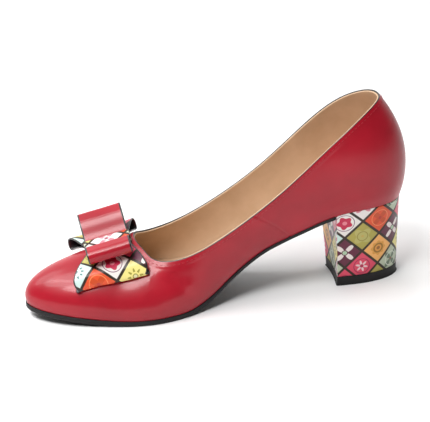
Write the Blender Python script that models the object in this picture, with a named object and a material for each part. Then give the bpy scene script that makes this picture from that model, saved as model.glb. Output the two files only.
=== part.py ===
"""A right-foot court shoe: a leather upper on a thin sole and a covered block heel, with a double bow.

The shoe stands on its tread and heel lift, with its toe towards -X, its inner side towards -Y and +Z up.
Places along the shoe are counted from the back of the counter. The tables give shares of the driving sizes.
"""

import math

import bmesh
import bpy
import numpy as np
from mathutils import Vector
from mathutils.bvhtree import BVHTree

# Driving sizes, in metres
LENGTH = 0.240
BALL_WIDTH = 0.076
HEEL_HEIGHT = 0.054
COUNTER_TOP = 0.120
WALL = 0.0018
SOLE_THICKNESS = 0.0030
INSOLE_THICKNESS = 0.0026
GAP = 0.0003
CLEARANCE = 0.0005

# Bottom of the last from heel to toe: share of the length, share of the drop from seat to tread, slope
BOTTOM_PROFILE = (
    (0.00, 1.000, 0.04),
    (0.10, 1.030, 0.00),
    (0.21, 0.972, -0.30),
    (0.37, 0.612, -0.56),
    (0.47, 0.290, -0.68),
    (0.54, 0.079, -0.44),
    (0.61, 0.000, 0.00),
    (0.73, 0.000, 0.00),
    (0.86, 0.041, 0.11),
    (1.00, 0.114, 0.15),
)
TREAD = SOLE_THICKNESS + GAP
ARCH_LIFT = 0.0030
ARCH_CENTRE = 0.45
ARCH_REACH = 0.18

# Sections of the wall, round the shoe from the back along the inner side, the toe and the outer side.
# Feather edge: share along, share of half the ball width.
# Topline: share along, share of half the ball width, share of the counter's top.
# Wall: rise and fall are shares of the chord; lean and slope are degrees from upright at feather and topline.
SECTIONS = (
    ("heel_back", 0.018, 0.00, 0.071, 0.00, 1.000, 0.34, 20, 0.40, 38),
    ("heel_round_inner", 0.044, -0.39, 0.089, -0.28, 0.991, 0.34, 18, 0.38, 35),
    ("heel_side_inner", 0.112, -0.63, 0.150, -0.54, 0.928, 0.34, 15, 0.36, 24),
    ("breast_inner", 0.210, -0.64, 0.238, -0.64, 0.794, 0.33, 15, 0.33, 14),
    ("waist_inner", 0.355, -0.54, 0.367, -0.68, 0.580, 0.35, 24, 0.33, 7),
    ("arch_inner", 0.467, -0.56, 0.488, -0.71, 0.419, 0.38, 28, 0.33, 8),
    ("joint_inner", 0.583, -0.80, 0.598, -0.71, 0.313, 0.40, 20, 0.33, 20),
    ("ball_inner", 0.690, -0.97, 0.667, -0.59, 0.292, 0.40, 10, 0.38, 42),
    ("toe_side_inner", 0.814, -0.85, 0.697, -0.36, 0.321, 0.34, 10, 0.43, 60),
    ("toe_round_inner", 0.927, -0.60, 0.711, -0.16, 0.343, 0.30, 14, 0.42, 69),
    ("toe_tip", 0.999, -0.14, 0.714, 0.01, 0.349, 0.28, 18, 0.42, 75),
    ("toe_round_outer", 0.931, 0.40, 0.710, 0.19, 0.343, 0.30, 14, 0.42, 69),
    ("toe_side_outer", 0.814, 0.83, 0.695, 0.40, 0.320, 0.34, 10, 0.43, 60),
    ("ball_outer", 0.675, 1.00, 0.663, 0.61, 0.290, 0.40, 10, 0.38, 42),
    ("joint_outer", 0.563, 0.88, 0.590, 0.74, 0.305, 0.40, 16, 0.33, 22),
    ("arch_outer", 0.450, 0.71, 0.480, 0.76, 0.405, 0.36, 20, 0.33, 12),
    ("waist_outer", 0.342, 0.64, 0.362, 0.72, 0.568, 0.34, 18, 0.33, 8),
    ("breast_outer", 0.210, 0.65, 0.238, 0.66, 0.790, 0.33, 15, 0.33, 14),
    ("heel_side_outer", 0.112, 0.63, 0.150, 0.54, 0.928, 0.34, 15, 0.36, 24),
    ("heel_round_outer", 0.044, 0.39, 0.089, 0.28, 0.991, 0.34, 18, 0.38, 35),
)
TOE_ROW = 10
TURN_STEPS = 100
WALL_STEPS = 9
OUTLINE_STEPS = 400
SHARP_ANGLE = math.radians(35)

# Sole, footbed and heel
SOLE_STANDS_OUT = 0.0006
WAIST_THINNING = 0.0011
WAIST_FROM = 0.58
WAIST_RUN = 0.25
PLATE_STEPS = 44
PLATE_WIDTH_STEPS = 6
BREAST = 0.209
HEEL_FOOT_BREAST = 0.197
HEEL_FOOT_BACK = 0.024
HEEL_FOOT_WIDTH = 0.0305
HEEL_CURVE = 1.3
BREAST_HOLLOW = 0.0012
HEEL_SIDE_STEPS = 16
BREAST_STEPS = 5
HEEL_LEVELS = 8
LIFT_HEIGHT = 0.0062

# Bow: its middle on the vamp, its turn in plan, and the roll and pitch of its base
BOW_ALONG = 0.779
BOW_OUT = -0.0010
BOW_YAW = math.radians(2.0)
BOW_ROLL = math.radians(2.5)
BOW_PITCH = math.radians(12.5)
PRINT_LEATHER = 0.0008
PRINT_REACH = 0.0265
PRINT_INNER_WIDTH = 0.047
PRINT_OUTER_WIDTH = 0.0435
PRINT_WAIST_WIDTH = 0.023
PRINT_INNER_SKEW = 0.0035
PRINT_OUTER_SKEW = 0.0025
PRINT_LOOP_HEIGHT = 0.0065
PRINT_OUTER_LIFT = 0.0025
PRINT_OUTER_SWELL = 0.30
PRINT_DROOP = 0.014
PRINT_OPENS_OVER = 0.8
RED_LEATHER = 0.0009
RED_REACH = 0.0230
RED_WIDTH = 0.0265
RED_LOOP_HEIGHT = 0.0080
RED_INNER_RISE = math.radians(1.0)
RED_OUTER_RISE = math.radians(15.0)
RED_OPENS_OVER = 0.5
KNOT_LEATHER = 0.0009
KNOT_WIDTH = 0.0065
LOOP_STEPS = 14
BAND_WIDTH_STEPS = 4
KNOT_STEPS = 8
KNOT_CORNER_STEPS = 3

# Finish: colour, roughness
FINISHES = {
    "red_leather": ((0.47, 0.020, 0.035, 1), 0.32),
    "black_rubber": ((0.012, 0.012, 0.013, 1), 0.55),
    "printed_cover": ((0.62, 0.45, 0.22, 1), 0.35),
    "lining_leather": ((0.60, 0.43, 0.28, 1), 0.60),
}


def hermite(rows, at):
    """Piecewise cubic through rows of place, value and slope."""
    place, value, slope = np.array(rows).T
    i = np.clip(np.searchsorted(place, at, side="right") - 1, 0, len(place) - 2)
    step = place[i + 1] - place[i]
    t = (at - place[i]) / step
    start = 2 * t**3 - 3 * t**2 + 1
    leave = t**3 - 2 * t**2 + t
    arrive = t**3 - t**2
    bend = step * (leave * slope[i] + arrive * slope[i + 1])
    return start * value[i] + (1 - start) * value[i + 1] + bend


def closed_spline(knots, values, at):
    """Closed cubic of continuous bend through the rows of values, read at the given places."""
    count = len(values)
    step = np.diff(knots)
    before = np.roll(step, 1)
    rise = (np.roll(values, -1, axis=0) - values) / step[:, None]
    system = np.diag(2 * (step + before))
    row = np.arange(count)
    system[row, (row + 1) % count] += step
    system[row, row - 1] += before
    bend = np.linalg.solve(system, 6 * (rise - np.roll(rise, 1, axis=0)))
    i = np.clip(np.searchsorted(knots, at, side="right") - 1, 0, count - 1)
    j = (i + 1) % count
    size = step[i][:, None]
    t = (at - knots[i])[:, None]
    u = size - t
    cubic = (bend[i] * u**3 + bend[j] * t**3) / (6 * size)
    return cubic + (values[i] / size - bend[i] * size / 6) * u + (values[j] / size - bend[j] * size / 6) * t


def section_curves(count):
    """All the columns of SECTIONS as closed curves, read at even steps from the heel to the toe and back."""
    table = np.array([row[1:] for row in SECTIONS])
    feather = table[:, :2] * (LENGTH, BALL_WIDTH / 2)
    chords = np.linalg.norm(np.roll(feather, -1, axis=0) - feather, axis=1)
    knots = np.concatenate([[0], np.cumsum(chords)])
    half = count // 2
    inner = np.linspace(0, knots[TOE_ROW], half, endpoint=False)
    outer = np.linspace(knots[TOE_ROW], knots[-1], count - half, endpoint=False)
    return closed_spline(knots, table, np.concatenate([inner, outer]))


def outward(ring):
    """Unit directions to the right of a closed ring's run, in plan."""
    run = np.roll(ring, -1, axis=0) - np.roll(ring, 1, axis=0)
    out = np.stack([run[:, 1], -run[:, 0]], axis=1)
    return out / np.linalg.norm(out, axis=1)[:, None]


def outline_edges(stand_out=0.0):
    """Inner and outer half of the feather outline, each from heel to toe, moved outwards by stand_out."""
    ring = section_curves(OUTLINE_STEPS)[:, :2] * (LENGTH, BALL_WIDTH / 2)
    ring = ring + stand_out * outward(ring)
    half = OUTLINE_STEPS // 2
    return ring[: half + 1], np.concatenate([ring[:1], ring[: half - 1 : -1]])


def edge_at(edge, along):
    order = np.argsort(edge[:, 0])
    return np.interp(along, edge[order, 0], edge[order, 1])


FEATHER_INNER, FEATHER_OUTER = outline_edges()


def bottom_height(along, out):
    """Height of the last's bottom: the side profile, lifted towards the inner side of the arch."""
    drop = HEEL_HEIGHT - TREAD
    profile = TREAD + hermite(np.array(BOTTOM_PROFILE) * (LENGTH, drop, 1), along)
    inner = edge_at(FEATHER_INNER, along)
    outer = edge_at(FEATHER_OUTER, along)
    share = np.clip((outer - out) / np.maximum(outer - inner, WALL), 0, 1)
    reach = np.clip(1 - ((along / LENGTH - ARCH_CENTRE) / ARCH_REACH) ** 2, 0, 1)
    return profile + ARCH_LIFT * reach**2 * share**2


def upper_surface(turns, steps):
    """Outer face of the upper: one cubic arc for each section, from the feather edge to the topline."""
    c = section_curves(turns)
    feather = c[:, 0:2] * (LENGTH, BALL_WIDTH / 2)
    top = c[:, 2:4] * (LENGTH, BALL_WIDTH / 2)
    foot = np.column_stack([feather, bottom_height(feather[:, 0], feather[:, 1])])
    head = np.column_stack([top, c[:, 4] * COUNTER_TOP])
    chord = np.linalg.norm(head - foot, axis=1)[:, None]
    lean, slope = np.radians(c[:, 6:7]), np.radians(c[:, 8:9])
    rise = np.hstack([outward(feather) * np.sin(lean), np.cos(lean)]) * chord * c[:, 5:6]
    fall = np.hstack([outward(top) * np.sin(slope), -np.cos(slope)]) * chord * c[:, 7:8]
    t = np.linspace(0, 1, steps + 1)[None, :, None]
    p = [q[:, None, :] for q in (foot, foot + rise, head + fall, head)]
    return p[0] * (1 - t) ** 3 + 3 * p[1] * t * (1 - t) ** 2 + 3 * p[2] * t**2 * (1 - t) + p[3] * t**3


def surface_normals(grid):
    """Outward unit normals of a grid that is closed along its first axis and runs up its second."""
    turn = np.roll(grid, -1, axis=0) - np.roll(grid, 1, axis=0)
    up = np.gradient(grid, axis=1)
    normal = np.cross(turn, up)
    return normal / np.linalg.norm(normal, axis=2)[:, :, None]


def to_frame(points):
    """From places counted along the shoe to the frame: heel at +X, toe at -X."""
    return np.stack([LENGTH / 2 - points[..., 0], points[..., 1], points[..., 2]], axis=-1)


def finish_material(name):
    """One material for each finish, shared by the pieces that have it."""
    made = bpy.data.materials.get(name)
    if made is None:
        made = bpy.data.materials.new(name)
        made.use_nodes = True
        shader = made.node_tree.nodes["Principled BSDF"]
        colour, roughness = FINISHES[name]
        shader.inputs["Base Color"].default_value = colour
        shader.inputs["Roughness"].default_value = roughness
    return made


def solid(name, points, faces, finish):
    """A named object from points in the frame, its faces turned outwards."""
    mesh = bpy.data.meshes.new(name)
    mesh.from_pydata(points.reshape(-1, 3).tolist(), [], faces)
    shape = bmesh.new()
    shape.from_mesh(mesh)
    bmesh.ops.recalc_face_normals(shape, faces=shape.faces)
    shape.to_mesh(mesh)
    shape.free()
    mesh.shade_smooth()
    mesh.set_sharp_from_angle(angle=SHARP_ANGLE)
    mesh.materials.append(finish_material(finish))
    obj = bpy.data.objects.new(name, mesh)
    bpy.context.scene.collection.objects.link(obj)
    return obj


def ring_faces(rings, size, closed=False):
    """Quads between successive closed rings of equal size; closed also joins the last ring to the first."""
    faces = []
    for r in range(rings if closed else rings - 1):
        s = (r + 1) % rings
        for k in range(size):
            n = (k + 1) % size
            faces.append((r * size + k, s * size + k, s * size + n, r * size + n))
    return faces


def make_upper():
    """One hollow wall, open at the collar and underneath."""
    outer = upper_surface(TURN_STEPS, WALL_STEPS)
    inner = outer - WALL * surface_normals(outer)
    loop = np.concatenate([outer, inner[:, ::-1]], axis=1)
    faces = ring_faces(*loop.shape[:2], closed=True)
    return solid("upper", to_frame(loop), faces, "red_leather")


def make_plate(name, alongs, edges, top, bottom, finish):
    """A plate between two edges: a grid over the top and under the bottom, with walls round it."""
    share = np.linspace(0, 1, PLATE_WIDTH_STEPS + 1)[None, :]
    inner, outer = (edge_at(edge, alongs)[:, None] for edge in edges)
    out = inner * (1 - share) + outer * share
    along = np.broadcast_to(alongs[:, None], out.shape)
    over = np.stack([along, out, top(along, out)], axis=2)
    below = np.stack([along, out, bottom(along, out)], axis=2)
    rings = np.concatenate([over, below[:, ::-1]], axis=1)
    count, size = rings.shape[:2]
    faces = ring_faces(count, size)
    for end in (0, (count - 1) * size):
        for k in range(PLATE_WIDTH_STEPS):
            faces.append((end + k, end + k + 1, end + size - 2 - k, end + size - 1 - k))
    return solid(name, to_frame(rings), faces, finish)


def stations(start, stop, count, round_start, round_stop):
    """Places from start to stop, closer together towards each end that is round."""
    low = -math.pi / 2 if round_start else 0.0
    high = math.pi / 2 if round_stop else 0.0
    wave = np.sin(np.linspace(low, high, count))
    return start + (stop - start) * (wave - wave[0]) / (wave[-1] - wave[0])


def make_sole():
    """Thin sole from the toe to the heel's breast, thinner through the waist."""
    edges = outline_edges(SOLE_STANDS_OUT)
    alongs = stations(BREAST * LENGTH + GAP, edges[0][-1, 0] - GAP, PLATE_STEPS, False, True)

    def top(along, out):
        return bottom_height(along, out) - GAP

    def bottom(along, out):
        waist = np.clip((WAIST_FROM - along / LENGTH) / WAIST_RUN, 0, 1)
        return top(along, out) - SOLE_THICKNESS + WAIST_THINNING * waist

    return make_plate("outsole", alongs, edges, top, bottom, "black_rubber")


def make_insole():
    """Footbed that closes the upper from inside, from the seat to the toe."""
    edges = outline_edges(-(WALL + CLEARANCE))
    alongs = stations(edges[0][0, 0] + GAP, edges[0][-1, 0] - GAP, PLATE_STEPS, True, True)

    def top(along, out):
        return bottom_height(along, out) + INSOLE_THICKNESS

    return make_plate("insole", alongs, edges, top, bottom_height, "lining_leather")


def heel_ring(level):
    """Outline of the heel at a level from 0, the floor, to 1, the seat: round the back, then the breast."""
    breast = BREAST * LENGTH
    back = FEATHER_INNER[0, 0]
    alongs = stations(back, breast, HEEL_SIDE_STEPS, True, False)
    inner = np.column_stack([alongs[::-1], edge_at(FEATHER_INNER, alongs[::-1])])
    outer = np.column_stack([alongs[1:], edge_at(FEATHER_OUTER, alongs[1:])])
    share = np.linspace(0, 1, BREAST_STEPS + 1)[1:-1, None]
    front = outer[-1] * (1 - share) + inner[0] * share
    front[:, 0] -= BREAST_HOLLOW * np.sin(math.pi * share[:, 0])
    ring = np.concatenate([inner, outer, front])
    width = HEEL_FOOT_WIDTH / np.ptp(ring[:, 1])
    depth = (HEEL_FOOT_BREAST - HEEL_FOOT_BACK) * LENGTH / (breast - back)
    foot = np.column_stack([HEEL_FOOT_BACK * LENGTH + (ring[:, 0] - back) * depth, ring[:, 1] * width])
    grown = level**HEEL_CURVE
    return foot * (1 - grown) + ring * grown


def make_heel_piece(name, levels, height, finish):
    """A stack of heel outlines, capped by strips from side to side."""
    layers = []
    for level in levels:
        ring = heel_ring(level)
        layers.append(np.column_stack([ring, height(level, ring)]))
    rings = np.stack(layers)
    count, size = rings.shape[:2]
    sides = 2 * HEEL_SIDE_STEPS - 1
    faces = ring_faces(count, size)
    for start in (0, (count - 1) * size):
        for k in range(HEEL_SIDE_STEPS - 1):
            strip = (start + k, start + k + 1, start + sides - 2 - k, start + sides - 1 - k)
            faces.append(tuple(dict.fromkeys(strip)))
        faces.append((start, *range(start + size - 1, start + sides - 2, -1)))
    return solid(name, to_frame(rings), faces, finish)


def make_heel():
    """Block heel from the lift to the seat, tapered downwards."""
    lift_level = LIFT_HEIGHT / HEEL_HEIGHT

    def height(level, ring):
        seat = bottom_height(ring[:, 0], ring[:, 1]) - GAP
        share = (level - lift_level) / (1 - lift_level)
        return (LIFT_HEIGHT + GAP) * (1 - share) + seat * share

    make_heel_piece("heel_block", np.linspace(lift_level, 1, HEEL_LEVELS), height, "printed_cover")

    def lift_height(level, ring):
        return np.full(len(ring), level * HEEL_HEIGHT)

    make_heel_piece("heel_lift", (0.0, lift_level), lift_height, "black_rubber")


def bow_frame(tree):
    """Origin and axes of the bow: across (to the outer side), along (to the heel) and off the vamp."""
    start = Vector((LENGTH / 2 - BOW_ALONG * LENGTH, BOW_OUT, COUNTER_TOP))
    origin = tree.ray_cast(start, Vector((0, 0, -1)))[0]
    turn = np.array([math.sin(BOW_YAW), math.cos(BOW_YAW), 0.0])
    ahead = np.array([math.cos(BOW_YAW), -math.sin(BOW_YAW), 0.0])
    up = np.array([0.0, 0.0, 1.0])
    across = turn * math.cos(BOW_ROLL) + up * math.sin(BOW_ROLL)
    along = ahead * math.cos(BOW_PITCH) + up * math.sin(BOW_PITCH)
    off = np.cross(along, across)
    off /= np.linalg.norm(off)
    return np.array(origin), across, np.cross(across, off), off


def vamp_heights(tree, frame, across, along):
    """Height of the vamp over the bow's base plane, square to that plane; far below where there is none."""
    origin, a, b, off = frame
    reach = LENGTH / 4
    starts = origin + a * across[..., None] + b * along[..., None] + off * reach
    hits = [tree.ray_cast(Vector(start), Vector(-off))[3] for start in starts.reshape(-1, 3)]
    depths = np.array([2 * reach if hit is None else hit for hit in hits])
    return reach - depths.reshape(across.shape)


def loop_path(reach, height, pinch, opens_over):
    """Share out from the waist, side, and height over the lower sheet, round a flat closed loop."""
    held = (KNOT_WIDTH / 2 + CLEARANCE) / reach
    wave = np.sin(np.linspace(0, math.pi / 2, LOOP_STEPS))
    share = np.concatenate([[0], held + (1 - held) * wave])
    opened = np.clip((share - held) / opens_over, 0, 1)
    swell = pinch + (height - pinch) * opened**2 * (3 - 2 * opened)
    fold = 1 - height / 2 / reach
    turn = np.clip((share - fold) / (1 - fold), 0, 1)
    half = swell / 2 * np.sqrt(1 - turn**2)
    top, bottom = swell / 2 + half, swell / 2 - half
    shares = np.concatenate([share, share[-2::-1], share[1:], share[-2:0:-1]])
    heights = np.concatenate([top, bottom[-2::-1], bottom[1:], top[-2:0:-1]])
    side = np.where(np.arange(len(shares)) <= 2 * LOOP_STEPS, 1.0, -1.0)
    return shares, side, heights


def make_band(name, frame, across, along, mid, thickness, finish):
    """A closed strip: across and mid trace its loop, along spans its width, thickness is halved about it."""
    origin, a, b, off = frame
    run_across, run_up = (np.roll(v, -1, axis=0) - np.roll(v, 1, axis=0) for v in (across, mid))
    length = np.hypot(run_across, run_up)
    sheets = []
    for side in (thickness / 2, -thickness / 2):
        q = across + side * run_up / length
        h = mid - side * run_across / length
        sheets.append(origin + a * q[..., None] + b * along[..., None] + off * h[..., None])
    loop = np.concatenate([sheets[0], sheets[1][:, ::-1]], axis=1)
    return solid(name, loop, ring_faces(*loop.shape[:2], closed=True), finish)


def make_print_loop(tree, frame, spread):
    """Lower loop: flared from its waist, lying on the vamp."""
    shares, side, heights = loop_path(PRINT_REACH, PRINT_LOOP_HEIGHT, PRINT_LEATHER + GAP, PRINT_OPENS_OVER)
    across = np.repeat((shares * side * PRINT_REACH)[:, None], spread.size, axis=1)
    end = np.where(side > 0, PRINT_OUTER_WIDTH, PRINT_INNER_WIDTH)
    skew = np.where(side > 0, PRINT_OUTER_SKEW, PRINT_INNER_SKEW) * shares
    swell = 1 + PRINT_OUTER_SWELL * np.where(side > 0, shares, 0)
    along = spread * (PRINT_WAIST_WIDTH + (end - PRINT_WAIST_WIDTH) * shares)[:, None] - skew[:, None]
    droop = -PRINT_DROOP * shares[:, None] ** 2
    ground = np.maximum(vamp_heights(tree, frame, across, along), droop)
    lift = CLEARANCE + PRINT_LEATHER / 2 + PRINT_OUTER_LIFT * np.where(side > 0, shares, 0) ** 2
    mid = ground + (lift + heights * swell)[:, None]
    return make_band("bow_under", frame, across, along, mid, PRINT_LEATHER, "printed_cover")


def make_red_loop(tree, frame, spread, under):
    """Upper loop: an even strip whose two sides rise from the waist."""
    shares, side, heights = loop_path(RED_REACH, RED_LOOP_HEIGHT, RED_LEATHER + GAP, RED_OPENS_OVER)
    across = np.repeat((shares * side * RED_REACH)[:, None], spread.size, axis=1)
    along = np.repeat(spread * RED_WIDTH, len(shares), axis=0)
    saddle = vamp_heights(tree, frame, 0 * across, along)
    free = np.maximum(shares * RED_REACH - KNOT_WIDTH / 2 - CLEARANCE, 0)
    slope = np.where(side > 0, math.tan(RED_OUTER_RISE), math.tan(RED_INNER_RISE))
    rise = under + RED_LEATHER / 2 + free * slope
    mid = saddle + (rise + heights)[:, None]
    return make_band("bow_top", frame, across, along, mid, RED_LEATHER, "red_leather")


def make_knot(tree, frame, under):
    """A strap over the waists: up from the vamp at the front, across, and down to the vamp at the back."""
    origin, a, b, off = frame
    reach = RED_WIDTH / 2 + GAP + KNOT_LEATHER / 2
    corner = GAP + KNOT_LEATHER / 2
    flat = np.linspace(-reach + corner, reach - corner, KNOT_STEPS + 1)
    top = vamp_heights(tree, frame, 0 * flat, flat) + under + KNOT_LEATHER / 2
    feet = np.array([-reach, reach])
    ground = vamp_heights(tree, frame, 0 * feet, feet) + CLEARANCE
    bend = np.linspace(0, math.pi / 2, KNOT_CORNER_STEPS + 1)[:-1]
    away = corner * (1 - np.cos(bend))
    lower = corner * (1 - np.sin(bend))
    along = np.concatenate([feet[:1], feet[0] + away, flat, feet[1] - away[::-1], feet[1:]])
    height = np.concatenate([ground[:1], top[0] - lower, top, top[-1] - lower[::-1], ground[1:]])
    run = np.gradient(np.stack([along, height], axis=1), axis=0)
    run /= np.linalg.norm(run, axis=1)[:, None]
    rings = []
    for face in (KNOT_LEATHER / 2, -KNOT_LEATHER / 2):
        edges = (KNOT_WIDTH / 2, -KNOT_WIDTH / 2) if face > 0 else (-KNOT_WIDTH / 2, KNOT_WIDTH / 2)
        p = (along - face * run[:, 1])[:, None]
        h = (height + face * run[:, 0])[:, None]
        rings.extend(origin + a * q + b * p + off * h for q in edges)
    loop = np.stack(rings, axis=1)
    count, size = loop.shape[:2]
    last = (count - 1) * size
    faces = ring_faces(count, size)
    faces.append(tuple(range(size)))
    faces.append(tuple(range(last, last + size)))
    return solid("bow_knot", loop, faces, "printed_cover")


def make_bow(tree):
    """Printed loop on the vamp, red loop over it, and the strap that holds their waists down."""
    frame = bow_frame(tree)
    spread = np.linspace(-0.5, 0.5, BAND_WIDTH_STEPS + 1)[None, :]
    make_print_loop(tree, frame, spread)
    print_top = 2 * CLEARANCE + 2 * PRINT_LEATHER + GAP
    make_red_loop(tree, frame, spread, print_top)
    make_knot(tree, frame, print_top + 2 * RED_LEATHER + 2 * GAP)


def main():
    for obj in list(bpy.data.objects):
        bpy.data.objects.remove(obj)
    upper = make_upper()
    make_insole()
    make_sole()
    make_heel()
    bpy.context.view_layer.update()
    make_bow(BVHTree.FromObject(upper, bpy.context.evaluated_depsgraph_get()))


main()
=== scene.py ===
"""Looks of a right-foot court shoe: red leather, patchwork print on heel and bow, thin black sole.

Lengths are metres. The toe points to -X, the inner side faces -Y and +Z is up. Places along the shoe are
counted from the back of the counter, and to_frame turns them into the frame at the end.
"""

import math

import bmesh
import bpy
import numpy as np
from mathutils import Matrix, Vector
from mathutils.bvhtree import BVHTree


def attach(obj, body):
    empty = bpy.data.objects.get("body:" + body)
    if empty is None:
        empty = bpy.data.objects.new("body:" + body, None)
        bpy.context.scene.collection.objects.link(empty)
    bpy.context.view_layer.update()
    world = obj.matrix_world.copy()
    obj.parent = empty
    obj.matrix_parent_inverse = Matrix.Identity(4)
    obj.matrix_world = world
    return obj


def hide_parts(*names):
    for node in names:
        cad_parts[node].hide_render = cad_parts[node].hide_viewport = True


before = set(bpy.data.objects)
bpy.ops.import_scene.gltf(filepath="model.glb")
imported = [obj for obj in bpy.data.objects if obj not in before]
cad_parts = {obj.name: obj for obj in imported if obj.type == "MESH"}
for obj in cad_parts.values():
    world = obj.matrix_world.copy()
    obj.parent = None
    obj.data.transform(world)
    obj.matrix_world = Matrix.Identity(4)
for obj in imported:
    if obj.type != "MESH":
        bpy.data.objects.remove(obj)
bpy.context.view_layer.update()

# Driving sizes of the last
LENGTH = 0.240
BALL_WIDTH = 0.076
HEEL_HEIGHT = 0.054
COUNTER_TOP = 0.120
SOLE_THICKNESS = 0.0030
FOOTBED_THICKNESS = 0.0026
GAP = 0.0003
TREAD = SOLE_THICKNESS + GAP

# Bottom of the last from heel to toe: share of the length, share of the drop from seat to tread, slope
BOTTOM_PROFILE = (
    (0.00, 1.000, 0.04),
    (0.10, 1.030, 0.00),
    (0.21, 0.972, -0.30),
    (0.37, 0.612, -0.56),
    (0.47, 0.290, -0.68),
    (0.54, 0.079, -0.44),
    (0.61, 0.000, 0.00),
    (0.73, 0.000, 0.00),
    (0.86, 0.041, 0.11),
    (1.00, 0.114, 0.15),
)
ARCH_LIFT = 0.0030
ARCH_CENTRE = 0.45
ARCH_REACH = 0.18

# Sections of the wall, round the shoe from the back along the inner side, the toe and the outer side.
# Name, then the feather edge: share along, share of half the ball width.
# Topline: share along, share of half the ball width, share of the counter's top.
# Wall: rise as a share of its chord and lean in degrees from upright at the feather edge, then fall and
# slope at the topline.
SECTIONS = (
    ("heel_back", 0.018, 0.00, 0.071, 0.00, 1.000, 0.34, 20, 0.40, 38),
    ("heel_round_inner", 0.044, -0.39, 0.089, -0.28, 0.991, 0.34, 18, 0.38, 35),
    ("heel_side_inner", 0.112, -0.63, 0.150, -0.54, 0.928, 0.34, 15, 0.36, 24),
    ("breast_inner", 0.210, -0.64, 0.238, -0.64, 0.794, 0.33, 15, 0.33, 14),
    ("waist_inner", 0.355, -0.54, 0.367, -0.68, 0.580, 0.35, 24, 0.33, 7),
    ("arch_inner", 0.467, -0.56, 0.488, -0.71, 0.419, 0.38, 28, 0.33, 8),
    ("joint_inner", 0.583, -0.80, 0.598, -0.71, 0.313, 0.40, 20, 0.33, 20),
    ("ball_inner", 0.690, -0.97, 0.667, -0.59, 0.292, 0.40, 10, 0.38, 42),
    ("toe_side_inner", 0.814, -0.85, 0.697, -0.36, 0.321, 0.34, 10, 0.43, 60),
    ("toe_round_inner", 0.927, -0.60, 0.711, -0.16, 0.343, 0.30, 14, 0.42, 69),
    ("toe_tip", 0.999, -0.14, 0.714, 0.01, 0.349, 0.28, 18, 0.42, 75),
    ("toe_round_outer", 0.931, 0.40, 0.710, 0.19, 0.343, 0.30, 14, 0.42, 69),
    ("toe_side_outer", 0.814, 0.83, 0.695, 0.40, 0.320, 0.34, 10, 0.43, 60),
    ("ball_outer", 0.675, 1.00, 0.663, 0.61, 0.290, 0.40, 10, 0.38, 42),
    ("joint_outer", 0.563, 0.88, 0.590, 0.74, 0.305, 0.40, 16, 0.33, 22),
    ("arch_outer", 0.450, 0.71, 0.480, 0.76, 0.405, 0.36, 20, 0.33, 12),
    ("waist_outer", 0.342, 0.64, 0.362, 0.72, 0.568, 0.34, 18, 0.33, 8),
    ("breast_outer", 0.210, 0.65, 0.238, 0.66, 0.790, 0.33, 15, 0.33, 14),
    ("heel_side_outer", 0.112, 0.63, 0.150, 0.54, 0.928, 0.34, 15, 0.36, 24),
    ("heel_round_outer", 0.044, 0.39, 0.089, 0.28, 0.991, 0.34, 18, 0.38, 35),
)
TOE_ROW = 10
OUTLINE_STEPS = 800

# Upper leather and lining
TURNS = 1100
WALL_STEPS = 56
BACK_STEP = 4
FOLD_STEPS = 8
LEATHER = 0.0009
LINING_FROM = 0.00095
LINING_TO = 0.0019
LINING_RISE = 0.0001
HEM_WIDTH = 0.0042
HEM_EDGE = 0.00315
HEM_RISE = 0.00016

# Creases of the upper: name, side, first place along and share up the wall, last place and share, width, and
# height (below 0 it is a trough)
INNER, OUTER = -1, 1
CREASES = (
    ("throat_ridge", INNER, 0.168, 0.86, 0.138, 0.84, 0.0036, 0.00040),
    ("throat_trough", INNER, 0.172, 0.66, 0.134, 0.62, 0.0050, -0.00045),
    ("joint_fold", INNER, 0.152, 0.60, 0.139, 0.22, 0.0034, -0.00030),
    ("ball_fold", INNER, 0.171, 0.50, 0.160, 0.18, 0.0040, -0.00022),
    ("waist_fold", INNER, 0.118, 0.86, 0.108, 0.30, 0.0045, -0.00025),
    ("seat_ridge", INNER, 0.008, 0.13, 0.078, 0.15, 0.0052, 0.00075),
    ("seat_hollow", INNER, 0.008, 0.33, 0.080, 0.36, 0.0090, -0.00060),
    ("throat_ridge", OUTER, 0.166, 0.86, 0.136, 0.84, 0.0036, 0.00035),
    ("throat_trough", OUTER, 0.170, 0.66, 0.134, 0.62, 0.0050, -0.00040),
    ("joint_fold", OUTER, 0.150, 0.60, 0.138, 0.22, 0.0034, -0.00028),
    ("waist_fold", OUTER, 0.116, 0.86, 0.106, 0.30, 0.0045, -0.00022),
    ("seat_ridge", OUTER, 0.008, 0.13, 0.078, 0.15, 0.0052, 0.00070),
    ("seat_hollow", OUTER, 0.008, 0.33, 0.080, 0.36, 0.0090, -0.00055),
)
CREASE_STEPS = 24
CREASE_END = 0.04
CREASE_FADE = 0.8
SIDE_SEAM = (INNER, 0.0975, 1.0, 0.0785, 0.0)
SEAM_WIDTH = 0.0009
SEAM_DEPTH = 0.00065
SEAM_SWELL_WIDTH = 0.0022
SEAM_SWELL = 0.000325

# Row of stitches under the topline
STITCH_BELOW = 0.0022
STITCH_PITCH = 0.0027
STITCH_LENGTH = 0.0019
STITCH_THICKNESS = 0.00042
STITCH_STEPS = 6

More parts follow.
